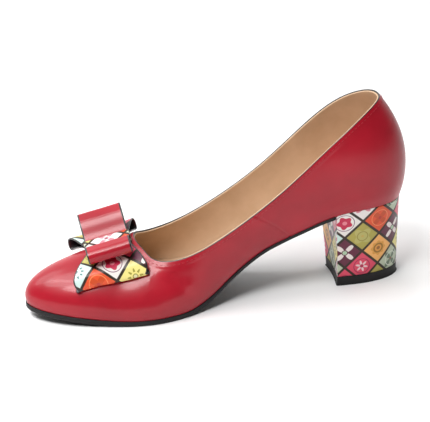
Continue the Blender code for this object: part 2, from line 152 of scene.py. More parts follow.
# Sole, footbed, heel and top piece
PLATE_STATIONS = 150
PLATE_SHARES = 14
EDGE_STEPS = 6
SOLE_STANDS_OUT = 0.0006
SOLE_SPINE_INSET = 0.026
SOLE_TOP_CORNER = 0.00028
SOLE_CORNER = 0.0007
WAIST_THINNING = 0.0011
WAIST_FROM = 0.58
WAIST_RUN = 0.25
FOOTBED_INSET = 0.0013
FOOTBED_SPINE_INSET = 0.022
FOOTBED_FLAT = 0.8
FOOTBED_RIM_STEPS = 10
FOOTBED_ROLL_FROM = 0.84
FOOTBED_ROLL = 0.0008
BREAST = 0.209
HEEL_FOOT_BREAST = 0.197
HEEL_FOOT_BACK = 0.024
HEEL_FOOT_WIDTH = 0.0305
HEEL_CURVE = 1.3
BREAST_HOLLOW = 0.0012
HEEL_SIDE_STEPS = 120
HEEL_BREAST_STEPS = 60
HEEL_TURNS = 420
HEEL_LEVELS = 48
HEEL_CORNER = 0.0007
HEEL_CORNER_STEPS = 12
HEEL_PRINT_LEVEL = 0.65
LIFT_HEIGHT = 0.0062
LIFT_LEVEL = LIFT_HEIGHT / HEEL_HEIGHT
LIFT_TOP_CORNER = 0.00012
LIFT_CORNER = 0.0006

# Bow: its middle on the vamp, its turn in plan, and the roll and pitch of its base
BOW_ALONG = 0.779
BOW_OUT = -0.0010
BOW_YAW = math.radians(2.0)
BOW_ROLL = math.radians(2.5)
BOW_PITCH = math.radians(12.5)
BOW_CLEARANCE = 0.0005
PRINT_LEATHER = 0.0008
PRINT_REACH = 0.0265
PRINT_INNER_WIDTH = 0.047
PRINT_OUTER_WIDTH = 0.0435
PRINT_WAIST_WIDTH = 0.023
PRINT_INNER_SKEW = 0.0035
PRINT_OUTER_SKEW = 0.0025
PRINT_LOOP_HEIGHT = 0.0065
PRINT_OUTER_LIFT = 0.0025
PRINT_OUTER_SWELL = 0.30
PRINT_INNER_CORNER = 0.0030
PRINT_DROOP = 0.014
PRINT_OPENS_OVER = 0.8
RED_LEATHER = 0.0009
RED_REACH = 0.0230
RED_WIDTH = 0.0265
RED_LOOP_HEIGHT = 0.0080
RED_INNER_RISE = math.radians(1.0)
RED_OUTER_RISE = math.radians(15.0)
RED_OPENS_OVER = 0.5
STRAP_LEATHER = 0.0009
STRAP_WIDTH = 0.0065
STRAP_FOOT_GAP = 0.0002
STRAP_STEPS = 40
EDGE_PAINT = 0.0005
LOOP_STEPS = 56
BAND_STEPS = 22
BAND_EDGE_STEPS = 5
VAMP_SAMPLES = 56
VAMP_HALF = 0.02914
VAMP_RAY = 0.060

# Patchwork print: square tiles on their corners, with TILE_LINE and TILE_SOFT as shares of a tile's side.
# The heel's first tile has a place along and a height, a tile of the bow lies at its inner fold and has a
# place along, and a tile of the strap lies in its middle. Tiles are named by row and column.
TILE = 0.0160
TILE_LINE = 0.052
TILE_SOFT = 0.012
PRINT_FADE = 0.05
PRINT_PEBBLE_SHARE = 0.6
PRINT_FADE_SHARE = 0.4
HEEL_TILE_ALONG = 0.0324
HEEL_TILE_HEIGHT = 0.0353
BOW_TILE = (1, 2)
STRAP_TILE = (1, 3)
BOW_TILE_ALONG = 0.1762

# Colours of each tile kind: ground, petals, ring and disc
TILE_COLOURS = {
    "olive": ((0.43, 0.37, 0.075), (0.50, 0.46, 0.14), (0.33, 0.27, 0.06), (0.55, 0.40, 0.10)),
    "cream": ((0.90, 0.46, 0.13), (0.76, 0.34, 0.06), (0.34, 0.15, 0.02), (0.34, 0.12, 0.02)),
    "sage": ((0.50, 0.57, 0.42), (0.16, 0.22, 0.15), (0.72, 0.76, 0.66), (0.30, 0.10, 0.08)),
    "bloom": ((0.84, 0.80, 0.76), (0.56, 0.015, 0.07), (0.20, 0.03, 0.13), (0.80, 0.24, 0.30)),
    "orange": ((0.76, 0.085, 0.022), (0.60, 0.065, 0.012), (0.86, 0.24, 0.09), (0.50, 0.03, 0.02)),
    "plum": ((0.12, 0.014, 0.045), (0.86, 0.77, 0.74), (0.12, 0.014, 0.045), (0.45, 0.62, 0.42)),
    "lemon": ((0.86, 0.76, 0.25), (0.34, 0.31, 0.04), (0.86, 0.76, 0.25), (0.78, 0.74, 0.42)),
    "blush": ((0.86, 0.80, 0.78), (0.70, 0.26, 0.32), (0.86, 0.80, 0.78), (0.10, 0.05, 0.06)),
    "pink": ((0.74, 0.065, 0.13), (0.84, 0.62, 0.64), (0.40, 0.02, 0.08), (0.52, 0.03, 0.09)),
    "sky": ((0.60, 0.78, 0.73), (0.08, 0.20, 0.20), (0.84, 0.88, 0.84), (0.28, 0.26, 0.30)),
}

# Shapes of each tile kind: petal count, radius and depth; ring radius, ring half width, disc radius
TILE_SHAPES = {
    "olive": ((4, 0.33, 0.25), (0.21, 0.020, 0.06)),
    "cream": ((8, 0.31, 0.10), (0.19, 0.035, 0.08)),
    "sage": ((4, 0.25, 0.80), (0.30, 0.018, 0.05)),
    "bloom": ((5, 0.27, 0.16), (0.37, 0.014, 0.09)),
    "orange": ((4, 0.27, 0.45), (0.35, 0.016, 0.07)),
    "plum": ((4, 0.25, 0.88), (0.11, 0.020, 0.09)),
    "lemon": ((8, 0.20, 0.55), (0.14, 0.030, 0.07)),
    "blush": ((4, 0.22, 0.70), (0.12, 0.020, 0.05)),
    "pink": ((6, 0.17, 0.55), (0.33, 0.018, 0.08)),
    "sky": ((10, 0.25, 0.30), (0.15, 0.060, 0.06)),
}

# Kinds of tile by row and column
TILE_CHART = (
    ("olive", "cream", "sage", "bloom"),
    ("orange", "plum", "lemon", "blush"),
    ("sage", "pink", "bloom", "orange"),
    ("plum", "pink", "olive", "sky"),
)

# Colours
RED = (0.40, 0.008, 0.021, 1)
RED_DEEP = (0.33, 0.006, 0.0165, 1)
BEIGE = (0.63, 0.44, 0.29, 1)
BEIGE_DEEP = (0.56, 0.38, 0.24, 1)
BLACK = (0.008, 0.0074, 0.008, 1)
RUBBER_BLOOM = (0.016, 0.0145, 0.0152, 1)
PAINT_WORN = (0.022, 0.017, 0.019, 1)
PRINT_LINE = (0.022, 0.013, 0.008, 1)
PRINT_FADED = (0.60, 0.52, 0.42, 1)
FLOOR_WHITE = (0.93, 0.93, 0.93, 1)

# Colour sockets of a Mix node
MIX_FIRST, MIX_SECOND, MIX_RESULT = 6, 7, 2

# Leather grain: finer marks to each coarser one, their shares of the bump, and the range of the roughness
PORES_TO_PEBBLE = 2.2
PEBBLE_SHARE = 0.7
PORE_SHARE = 0.5
GLOSS_TO_BLOTCH = 5.0
GLOSS_RANGE = 0.07
NOISE_ROUGHNESS = 0.55

# Points closer than this are welded into one
WELD_GAP = 1e-6

# Half the side of the floor
FLOOR_HALF = 3.0

# Light of the backdrop behind the shoe and of the room, and the panels: name, place, way of the longer
# measure, the two measures, power in watts
BACKDROP = 1.35
ROOM = 0.04
LIGHT_TARGET = Vector((-0.02, 0, 0.03))
PANELS = (
    ("key", (-0.50, -0.60, 1.28), (1, 0, 0), (0.6, 0.6), 16.0),
    ("overhead", (-0.60, 0.00, 1.20), (1, 0, 0), (0.7, 0.7), 7.5),
    ("back_light", (-0.75, 0.50, 0.95), (1, 0, 0), (0.7, 0.7), 4.2),
    ("toe_strip", (-0.56, 0.03, 1.05), (0.33, -0.37, 0), (0.50, 0.08), 1.0),
    ("throat_strip", (0.07, 0.34, 1.08), (1, 0.3, 0), (0.28, 0.10), 1.4),
)

# Camera: where the photograph was taken from, its turn about X, Y and Z in degrees, sensor and lens in mm
CAMERA_PLACE = (-0.21046, -1.13911, 0.61378)
CAMERA_TURN = (64.1784, 1.6480, -11.2465)
SENSOR = 36.0
LENS = 176.0


# The last and its surfaces


def blend(first, second, share):
    """From the first at share 0 to the second at share 1, in a straight line."""
    return first * (1 - share) + second * share


def lifted(places, height):
    """Places in plan, each with its height."""
    return np.concatenate([places, np.broadcast_to(height, places.shape[:-1])[..., None]], axis=-1)


def unit(vectors):
    """Vectors divided by their lengths."""
    return vectors / np.linalg.norm(vectors, axis=-1, keepdims=True)


def ring_run(ring):
    """From the point before to the point after each point of a closed ring."""
    return np.roll(ring, -1, axis=0) - np.roll(ring, 1, axis=0)


def hermite(rows, at):
    """Piecewise cubic through rows of place, value and slope: the cubic Hermite blend between two rows."""
    place, value, slope = np.array(rows).T
    i = np.clip(np.searchsorted(place, at, side="right") - 1, 0, len(place) - 2)
    step = place[i + 1] - place[i]
    t = (at - place[i]) / step
    start = 2 * t**3 - 3 * t**2 + 1
    bend = step * ((t**3 - 2 * t**2 + t) * slope[i] + (t**3 - t**2) * slope[i + 1])
    return start * value[i] + (1 - start) * value[i + 1] + bend


def closed_spline(knots, values, at):
    """Closed cubic spline: second derivatives solved so that slope and bend run on through every knot."""
    count = len(values)
    step = np.diff(knots)
    before = np.roll(step, 1)
    rise = (np.roll(values, -1, axis=0) - values) / step[:, None]
    system = np.diag(2 * (step + before))
    row = np.arange(count)
    system[row, (row + 1) % count] += step
    system[row, row - 1] += before
    bend = np.linalg.solve(system, 6 * (rise - np.roll(rise, 1, axis=0)))
    i = np.clip(np.searchsorted(knots, at, side="right") - 1, 0, count - 1)
    j = (i + 1) % count
    size = step[i][:, None]
    t = (at - knots[i])[:, None]
    u = size - t
    cubic = (bend[i] * u**3 + bend[j] * t**3) / (6 * size)
    return cubic + (values[i] / size - bend[i] * size / 6) * u + (values[j] / size - bend[j] * size / 6) * t


def section_curves(count):
    """All columns of SECTIONS as closed curves over the feather edge's length, at even steps."""
    table = np.array([row[1:] for row in SECTIONS])
    feather = table[:, :2] * (LENGTH, BALL_WIDTH / 2)
    chords = np.linalg.norm(np.roll(feather, -1, axis=0) - feather, axis=1)
    knots = np.concatenate([[0], np.cumsum(chords)])
    half = count // 2
    inner = np.linspace(0, knots[TOE_ROW], half, endpoint=False)
    outer = np.linspace(knots[TOE_ROW], knots[-1], count - half, endpoint=False)
    return closed_spline(knots, table, np.concatenate([inner, outer]))


def outward(ring):
    """Unit directions to the right of a closed ring's run, in plan."""
    run = ring_run(ring)
    return unit(np.stack([run[:, 1], -run[:, 0]], axis=1))


def outline_edges(stand_out=0.0):
    """Inner and outer half of the feather outline, each from heel to toe, moved outwards by stand_out."""
    ring = section_curves(OUTLINE_STEPS)[:, :2] * (LENGTH, BALL_WIDTH / 2)
    ring = ring + stand_out * outward(ring)
    half = OUTLINE_STEPS // 2
    return ring[: half + 1], np.concatenate([ring[:1], ring[: half - 1 : -1]])


def edge_at(edge, along):
    """Place out from the middle of an outline half, read between its points."""
    order = np.argsort(edge[:, 0])
    return np.interp(along, edge[order, 0], edge[order, 1])


def edge_points(edge, alongs):
    """Points of an outline half at places along."""
    return np.column_stack([alongs, edge_at(edge, alongs)])


FEATHER_INNER, FEATHER_OUTER = outline_edges()


def bottom_height(places):
    """Height of the last's bottom: the side profile, plus a lift at the arch that grows to the inner side.

    The lift is ARCH_LIFT * (1 - (offset / reach)^2)^2 * share^2, with share 1 at the inner edge.
    """
    along, out = places[..., 0], places[..., 1]
    profile = TREAD + hermite(np.array(BOTTOM_PROFILE) * (LENGTH, HEEL_HEIGHT - TREAD, 1), along)
    inner, outer = edge_at(FEATHER_INNER, along), edge_at(FEATHER_OUTER, along)
    share = np.clip((outer - out) / np.maximum(outer - inner, LEATHER), 0, 1)
    reach = np.clip(1 - ((along / LENGTH - ARCH_CENTRE) / ARCH_REACH) ** 2, 0, 1)
    return profile + ARCH_LIFT * reach**2 * share**2


def upper_surface(turns, steps):
    """Outer face of the upper: one cubic arc for each section, from the feather edge to the topline."""
    curves = section_curves(turns)
    feather, top = (curves[:, k : k + 2] * (LENGTH, BALL_WIDTH / 2) for k in (0, 2))
    height, rise_share, lean, fall_share, slope = (column[:, None] for column in curves.T[4:])
    foot = lifted(feather, bottom_height(feather))
    head = lifted(top, height[:, 0] * COUNTER_TOP)
    chord = np.linalg.norm(head - foot, axis=1)[:, None]
    lean, slope = np.radians(lean), np.radians(slope)
    rise = np.hstack([outward(feather) * np.sin(lean), np.cos(lean)]) * chord * rise_share
    fall = np.hstack([outward(top) * np.sin(slope), -np.cos(slope)]) * chord * fall_share
    t = np.linspace(0, 1, steps + 1)[None, :, None]
    p = [q[:, None, :] for q in (foot, foot + rise, head + fall, head)]
    return p[0] * (1 - t) ** 3 + 3 * p[1] * t * (1 - t) ** 2 + 3 * p[2] * t**2 * (1 - t) + p[3] * t**3


def surface_normals(grid):
    """Outward unit normals of a grid that is closed along its first axis and runs up its second."""
    return unit(np.cross(ring_run(grid), np.gradient(grid, axis=1)))


def to_frame(points):
    """From places counted along the shoe to the frame: heel at +X, toe at -X."""
    return np.stack([LENGTH / 2 - points[..., 0], points[..., 1], points[..., 2]], axis=-1)


def smooth_step(low, high, at):
    """From 0 at low to 1 at high, as t * t * (3 - 2 * t)."""
    t = np.clip((at - low) / (high - low), 0, 1)
    return t * t * (3 - 2 * t)


# Meshes


def grid_quads(rows, columns, close_columns):
    """Quads of a grid that closes along its rows, and their corner rows and columns.

    Corners are counted on past the last row or column where the grid closes.
    """
    last = columns if close_columns else columns - 1
    i, j = (places.reshape(-1, 1) for places in np.mgrid[:rows, :last])
    corner_i, corner_j = i + np.array([0, 1, 1, 0]), j + np.array([0, 0, 1, 1])
    return (corner_i % rows) * columns + corner_j % columns, corner_i, corner_j


def enclosed(points, quads):
    """Six times the volume inside a closed mesh: the sum of triple products of its triangles."""
    a, b, c, d = (points[quads[:, k]] for k in range(4))
    return np.sum(np.cross(a, b) * c) + np.sum(np.cross(a, c) * d)


def new_object(name, data):
    """A new object in the scene with a mesh, light or camera."""
    made = bpy.data.objects.new(name, data)
    bpy.context.scene.collection.objects.link(made)
    return made


def mesh_object(name, points, quads, finishes):
    """A new object of quads, shaded smooth, with its finishes."""
    mesh = bpy.data.meshes.new(name)
    mesh.from_pydata(points.reshape(-1, 3).tolist(), [], quads.tolist())
    mesh.shade_smooth()
    for finish in finishes:
        mesh.materials.append(finish)
    return new_object(name, mesh)


def weld(mesh):
    """Join the points that fall together where a grid ends in a pole or in a line."""
    shape = bmesh.new()
    shape.from_mesh(mesh)
    bmesh.ops.remove_doubles(shape, verts=shape.verts, dist=WELD_GAP)
    shape.to_mesh(mesh)
    shape.free()


def piece(name, grid, finishes, node=None, close_columns=True, uv=None, finish_of_column=None):
    """One closed piece from a grid that closes along its rows, with faces turned outwards.

    Columns that don't close end in poles or in a line, which are welded. uv holds one more row than the
    grid, and one more column where those close, so that a pattern runs on over the seams.
    finish_of_column picks the finish of each column.
    """
    rows, columns = grid.shape[:2]
    quads, corner_i, corner_j = grid_quads(rows, columns, close_columns)
    if enclosed(grid.reshape(-1, 3), quads) < 0:
        quads, corner_i, corner_j = quads[:, ::-1], corner_i[:, ::-1], corner_j[:, ::-1]
    made = mesh_object(name, grid, quads, finishes)
    if uv is not None:
        layer = made.data.uv_layers.new(name="place")
        layer.data.foreach_set("uv", uv[corner_i, corner_j].astype(np.float32).ravel())
    if finish_of_column is not None:
        chosen = finish_of_column[corner_j.min(axis=1)]
        made.data.polygons.foreach_set("material_index", chosen.astype(np.int32))
    if not close_columns:
        weld(made.data)
    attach(made, "root")
    if node:
        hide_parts(node)


def closed_lengths(ring):
    """A ring with its first point again at the end, and the length walked to each of its points."""
    closed = np.concatenate([ring, ring[:1]])
    steps = np.linalg.norm(np.diff(closed, axis=0), axis=1)
    return closed, np.concatenate([[0], np.cumsum(steps)])


def even_steps(values, lengths, count):
    """Columns of values along a closed ring, read at even steps of the length walked."""
    at = np.arange(count) * lengths[-1] / count
    return np.stack([np.interp(at, lengths, column) for column in values.T], axis=1)


def capped(rings):
    """Rings in a row as a grid, closed by a point in the middle of each end."""
    first, last = (np.broadcast_to(rings[k].mean(axis=0), rings[k].shape) for k in (0, -1))
    return np.stack([first, *rings, last], axis=1)


def quarter_round(radius, endpoint=True):
    """Distances from a side and from a face along the quarter circle that joins them.

    They are radius * (1 - cos) and radius * (1 - sin) of the turn.
    """
    turn = np.linspace(0, math.pi / 2, EDGE_STEPS, endpoint=endpoint)
    return radius * (1 - np.cos(turn)), radius * (1 - np.sin(turn))


def read_grid(grid, r, c):
    """Values of a grid, blended both ways between its points; rows run on from the last to the first."""
    count, columns = grid.shape[:2]
    i, j = r.astype(int), np.minimum(c.astype(int), columns - 2)
    s, t = (r - i)[..., None], (c - j)[..., None]
    near, far = (blend(grid[k % count, j], grid[k % count, j + 1], t) for k in (i, i + 1))
    return blend(near, far, s)


# Materials


class Value:
    """A number that varies over a surface, in a node tree; sums and products add Math nodes."""

    def __init__(self, tree, socket):
        self.tree = tree
        self.socket = socket

    def math(self, operation, *others, clamp=False):
        """One Math node on this value and the others, each a Value or a plain number."""
        node = self.tree.nodes.new("ShaderNodeMath")
        node.operation = operation
        node.use_clamp = clamp
        for slot, item in zip(node.inputs, (self, *others)):
            if isinstance(item, Value):
                self.tree.links.new(item.socket, slot)
            else:
                slot.default_value = item
        return Value(self.tree, node.outputs[0])

    def __add__(self, other):
        return self.math("ADD", other)

    def __sub__(self, other):
        return self.math("SUBTRACT", other)

    def __mul__(self, other):
        return self.math("MULTIPLY", other)

    def __truediv__(self, other):
        return self.math("DIVIDE", other)

    def under(self, limit, soft):
        """1 where this is under the limit, 0 where it is over, with a soft step between."""
        gap = self * -1.0 + limit
        return (gap / soft).math("ADD", 0.5, clamp=True)

    def mix(self, first, second):
        """Colour between two colours, each a socket or plain numbers, with this value as the share."""
        node = self.tree.nodes.new("ShaderNodeMix")
        node.data_type = "RGBA"
        self.tree.links.new(self.socket, node.inputs["Factor"])
        for slot, item in ((node.inputs[MIX_FIRST], first), (node.inputs[MIX_SECOND], second)):
            if isinstance(item, tuple):
                slot.default_value = item
            else:
                self.tree.links.new(item, slot)
        return node.outputs[MIX_RESULT]

    def chart(self, rows):
        """A stepped table: this value, from 0 to 1, picks one of the rows of three numbers."""
        node = self.tree.nodes.new("ShaderNodeValToRGB")
        ramp = node.color_ramp
        ramp.interpolation = "CONSTANT"
        ramp.elements.remove(ramp.elements[1])
        ramp.elements[0].position = 0.0
        ramp.elements[0].color = (*rows[0], 1)
        for k in range(1, len(rows)):
            ramp.elements.new(k / len(rows)).color = (*rows[k], 1)
        self.tree.links.new(self.socket, node.inputs["Fac"])
        return node.outputs["Color"]


class Finish:
    """A material with one Principled shader, patterned in the piece's own frame."""

    def __init__(self, name, roughness, coat=0.0, coat_roughness=0.1, specular=0.5):
        self.material = bpy.data.materials.new(name)
        self.material.use_nodes = True
        self.tree = self.material.node_tree
        self.sockets = self.tree.nodes["Principled BSDF"].inputs
        self.sockets["Roughness"].default_value = roughness
        self.sockets["Coat Weight"].default_value = coat
        self.sockets["Coat Roughness"].default_value = coat_roughness
        self.sockets["Specular IOR Level"].default_value = specular

    def texture(self, kind, output, **numbers):
        """One texture node with its numbers set."""
        node = self.tree.nodes.new(kind)
        place = self.tree.nodes.new("ShaderNodeTexCoord").outputs["Object"]
        self.tree.links.new(place, node.inputs["Vector"])
        for name, number in numbers.items():
            node.inputs[name].default_value = number
        return Value(self.tree, node.outputs[output])

    def noise(self, scale, detail=3.0):
        """A soft random tone from 0 to 1, in layers that halve in size, with scale patches to the metre."""
        layers = {"Scale": scale, "Detail": detail, "Roughness": NOISE_ROUGHNESS}
        return self.texture("ShaderNodeTexNoise", "Fac", **layers)

    def cells(self, scale):
        """Distance to the nearest of scattered points: the pebbles of a leather grain."""
        return self.texture("ShaderNodeTexVoronoi", "Distance", Scale=scale)

    def colour(self, socket):
        """Colour of the surface."""
        self.tree.links.new(socket, self.sockets["Base Color"])

    def bump(self, height, strength, depth):
        """Bump from a height value, depth metres high where the value is 1."""
        node = self.tree.nodes.new("ShaderNodeBump")
        node.inputs["Strength"].default_value = strength
        node.inputs["Distance"].default_value = depth
        self.tree.links.new(height.socket, node.inputs["Height"])
        self.tree.links.new(node.outputs["Normal"], self.sockets["Normal"])

    def gloss(self, scale, low, high):
        """Roughness from low to high in soft patches."""
        uneven = self.noise(scale) * (high - low) + low
        self.tree.links.new(uneven.socket, self.sockets["Roughness"])


def leather(name, colour, deep, roughness, coat, specular, grain, blotch):
    """Dyed leather: two tones in soft blotches, pebbles and pores as bump, and an uneven gloss.

    grain and blotch are pebbles and blotches to the metre.
    """
    made = Finish(name, roughness, coat, coat_roughness=0.16, specular=specular)
    made.colour(made.noise(blotch).under(limit=0.47, soft=0.30).mix(colour, deep))
    pore = made.noise(grain * PORES_TO_PEBBLE, detail=2.0)
    made.bump(made.cells(grain) * PEBBLE_SHARE + pore * PORE_SHARE, strength=0.22, depth=0.00016)
    made.gloss(blotch * GLOSS_TO_BLOTCH, roughness - GLOSS_RANGE, roughness + GLOSS_RANGE)
    return made.material


def parts(tree, colour):
    """The three numbers of a colour."""
    node = tree.nodes.new("ShaderNodeSeparateColor")
    tree.links.new(colour, node.inputs["Color"])
    return [Value(tree, node.outputs[k]) for k in range(3)]


def tile_centre(tile):
    """Middle of a tile of the chart, in metres on the print."""
    row, column = tile
    return (row + column) * TILE / math.sqrt(2), (row - column) * TILE / math.sqrt(2)


def printed_leather():
    """Patchwork print: square tiles on their corners, each with petals, a ring and a disc on its ground.

    With u and v in tiles, row i counts along u + v and column j along u - v. In a tile the petals' edge is
    radius * (1 + depth * cos(count * angle)).
    """
    made = Finish("printed_leather", roughness=0.36, coat=0.07, coat_roughness=0.15, specular=0.25)
    tree = made.tree
    uv = tree.nodes.new("ShaderNodeUVMap")
    uv.uv_map = "place"
    split = tree.nodes.new("ShaderNodeSeparateXYZ")
    tree.links.new(uv.outputs["UV"], split.inputs["Vector"])
    u, v = (Value(tree, split.outputs[k]) / (TILE * math.sqrt(2)) for k in range(2))
    i, j = u + v + 0.5, u - v + 0.5
    row, column = i.math("FLOOR"), j.math("FLOOR")
    p, q = i - row - 0.5, j - column - 0.5
    size = len(TILE_CHART)
    cell = row.math("FLOORED_MODULO", size) * size + column.math("FLOORED_MODULO", size) + 0.5
    names = list(TILE_COLOURS)
    numbers = [((names.index(kind) + 0.5) / len(names),) * 3 for line in TILE_CHART for kind in line]
    kind = parts(tree, (cell / size**2).chart(numbers))[0]
    ground, petals, ring, disc = (kind.chart([TILE_COLOURS[name][k] for name in names]) for k in range(4))
    shapes = (parts(tree, kind.chart([TILE_SHAPES[name][k] for name in names])) for k in range(2))
    (count, reach, depth), (ring_radius, ring_width, disc_radius) = shapes
    radius = (p * p + q * q).math("SQRT")
    angle = q.math("ARCTAN2", p)
    petal_edge = reach * ((angle * count).math("COSINE") * depth + 1.0)
    from_ring = (radius - ring_radius).math("ABSOLUTE")
    border = p.math("ABSOLUTE").math("MAXIMUM", q.math("ABSOLUTE")) * -1.0 + 0.5
    colour = (radius - petal_edge).under(0.0, TILE_SOFT).mix(ground, petals)
    colour = (from_ring - ring_width).under(0.0, TILE_SOFT).mix(colour, ring)
    colour = (radius - disc_radius).under(0.0, TILE_SOFT).mix(colour, disc)
    colour = border.under(TILE_LINE, TILE_SOFT).mix(colour, PRINT_LINE)
    fade = made.noise(scale=260.0, detail=4.0)
    made.colour((fade * PRINT_FADE).mix(colour, PRINT_FADED))
    relief = made.cells(scale=1500.0) * PRINT_PEBBLE_SHARE + fade * PRINT_FADE_SHARE
    made.bump(relief, strength=0.10, depth=0.0001)
    made.gloss(scale=180.0, low=0.28, high=0.42)
    return made.material


def black_sole():
    """Black sole rubber: near black with a grey bloom, fine stipple as bump."""
    made = Finish("black_sole", roughness=0.48, specular=0.25)
    made.colour(made.noise(scale=90.0, detail=5.0).mix(BLACK, RUBBER_BLOOM))
    made.bump(made.noise(scale=1600.0, detail=2.0), strength=0.25, depth=0.00012)
    made.gloss(scale=140.0, low=0.40, high=0.58)
    return made.material


def edge_black():
    """Black edge paint and backing of the bow, and the black of the upper's topline edge: smooth, with a
    slight brushed unevenness.
    """
    made = Finish("edge_black", roughness=0.36, coat=0.2, coat_roughness=0.2)
    uneven = made.noise(scale=420.0)
    made.colour(uneven.mix(BLACK, PAINT_WORN))
    made.bump(uneven, strength=0.12, depth=0.0002)
    return made.material


def thread_red():
    """Sewing thread in the leather's colour: a fine twist as bump."""
    made = Finish("thread_red", roughness=0.55)
    twist = made.noise(scale=2600.0, detail=2.0)
    made.colour(twist.mix(RED_DEEP, RED))
    made.bump(twist, strength=0.4, depth=0.0001)
    return made.material


def floor_white():
    """Plain pale floor."""
    made = Finish("floor_white", roughness=0.8, specular=0.2)
    made.sockets["Base Color"].default_value = FLOOR_WHITE
    return made.material


# Upper, lining and stitches


def wall_path(surface, side, along, share, along_end, share_end):
    """Points over one side of the wall, from one place along and share up the wall to another.

    The grid's row is found by the place along the feather edge and its column by the share up the wall.
    """
    count, columns = surface.shape[:2]
    half = count // 2
    rows = np.arange(half + 1) if side == INNER else np.arange(count, half - 1, -1)
    run = np.linspace(0, 1, CREASE_STEPS + 1)
    r = np.interp(blend(along, along_end, run), surface[rows % count, 0, 0], rows)
    return read_grid(surface, r, blend(share, share_end, run) * (columns - 1))


def line_distance(surface, path):
    """Distance of each surface point from a path, and the share of the path run at its nearest point.

    The nearest point of each straight piece is the foot of a perpendicular, held between the piece's ends.
    """
    distance = np.full(surface.shape[:2], LENGTH)
    run = np.zeros(surface.shape[:2])
    for k in range(CREASE_STEPS):
        step = path[k + 1] - path[k]
        from_start = surface - path[k]
        t = np.clip(from_start @ step / (step @ step), 0, 1)
        gap = np.linalg.norm(from_start - t[..., None] * step, axis=2)
        run = np.where(gap < distance, (k + t) / CREASE_STEPS, run)
        distance = np.minimum(gap, distance)
    return distance, run


def bell(distance, width):
    """Bell curve exp(-(distance / width)^2)."""
    return np.exp(-((distance / width) ** 2))


def upper_relief(surface):
    """How far the leather stands off the last: soft troughs and ridges, the side seam and the turned hem.

    A crease is height * bell(distance), times a sine of the run that fades it out to its ends. The seam is a
    narrow trough in a wider swell, and the hem rises by a smooth step.
    """
    relief = np.zeros(surface.shape[:2])
    for _, *ends, width, height in CREASES:
        distance, run = line_distance(surface, wall_path(surface, *ends))
        fade = np.sin(math.pi * np.clip(run, CREASE_END, 1 - CREASE_END)) ** CREASE_FADE
        relief += height * bell(distance, width) * fade
    distance, _ = line_distance(surface, wall_path(surface, *SIDE_SEAM))
    relief += SEAM_SWELL * bell(distance, SEAM_SWELL_WIDTH) - SEAM_DEPTH * bell(distance, SEAM_WIDTH)
    return relief + HEM_RISE * smooth_step(HEM_WIDTH, HEM_EDGE, below_topline(surface))


def below_topline(surface):
    """Length of wall between each point and the topline."""
    steps = np.linalg.norm(np.diff(surface, axis=1), axis=2)
    lengths = np.concatenate([np.zeros((len(surface), 1)), np.cumsum(steps, axis=1)], axis=1)
    return lengths[:, -1:] - lengths


def wall_loop(surface, normals, face, back, top_rise):
    """Closed profile round a sheet: up its face, over a half-round edge at the topline, and down its back.

    face and back are offsets along the normals. The back, which is hidden or plain, takes fewer steps.
    """
    up = unit(surface[:, -1:] - surface[:, -2:-1])
    surface = np.concatenate([surface[:, :-1], surface[:, -1:] + up * top_rise], axis=1)
    outside, inside = surface + normals * face[..., None], surface + normals * back
    n = normals[:, -1:]
    half = (face[:, -1:, None] - back) / 2
    turn = np.linspace(0, math.pi, FOLD_STEPS + 1)[None, 1:-1, None]
    fold = inside[:, -1:] + half * (n * (1 + np.cos(turn)) + up * np.sin(turn))
    return np.concatenate([outside, fold, inside[:, ::-BACK_STEP]], axis=1)


def make_upper(red, lining, black):
    """Upper leather with its creases, seam and black topline edge, and the lining inside it."""
    surface = upper_surface(TURNS, WALL_STEPS)
    normals = surface_normals(surface)
    relief = upper_relief(surface)
    grid = to_frame(wall_loop(surface, normals, relief, -LEATHER, 0.0))
    finish = np.zeros(grid.shape[1])
    # The half-round edge at the topline takes the black finish
    finish[WALL_STEPS : WALL_STEPS + FOLD_STEPS] = 1
    piece("upper_leather", grid, [red, black], "upper", finish_of_column=finish)
    face = np.full(relief.shape, -LINING_FROM)
    inside = to_frame(wall_loop(surface, normals, face, -LINING_TO, LINING_RISE))
    piece("upper_lining", inside, [lining])
    return surface, normals, relief


def stitch_row(surface, normals, relief):
    """Places on the leather's face at one length below the topline, and the normals there."""
    depth = below_topline(surface)
    level = np.argmin(np.abs(depth - STITCH_BELOW), axis=1)
    row = np.arange(len(surface))
    face = surface + normals * relief[..., None]
    near, far = face[row, level], face[row, level - 1]
    share = (STITCH_BELOW - depth[row, level]) / (depth[row, level - 1] - depth[row, level])
    return blend(near, far, share[:, None]), normals[row, level]


def make_stitches(surface, normals, relief, thread):
    """Short stitches in a row below the topline: each an ellipsoid, long along the row, half sunk."""
    path, path_normals = stitch_row(surface, normals, relief)
    closed, lengths = closed_lengths(path)
    count = int(lengths[-1] / STITCH_PITCH)
    centre = even_steps(closed, lengths, count)
    out = unit(even_steps(np.concatenate([path_normals, path_normals[:1]]), lengths, count))
    run = unit(ring_run(centre))
    turn = np.linspace(0, 2 * math.pi, STITCH_STEPS, endpoint=False)[:, None]
    lean = np.linspace(0, math.pi, STITCH_STEPS)[None, :]
    ring = np.sin(lean) * STITCH_THICKNESS / 2
    x = -np.cos(lean) * STITCH_LENGTH / 2 + 0 * turn
    points = centre[:, None, None]
    for way, reach in ((run, x), (np.cross(out, run), np.cos(turn) * ring), (out, np.sin(turn) * ring)):
        points = points + way[:, None, None] * reach[..., None]
    points = to_frame(points)
    quads = grid_quads(STITCH_STEPS, STITCH_STEPS, False)[0]
    if enclosed(points[0].reshape(-1, 3), quads) < 0:
        quads = quads[:, ::-1]
    starts = np.arange(count)[:, None, None] * STITCH_STEPS**2
    made = mesh_object("topline_stitches", points, (starts + quads).reshape(-1, 4), [thread])
    weld(made.data)
    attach(made, "root")


# Sole, footbed and heel


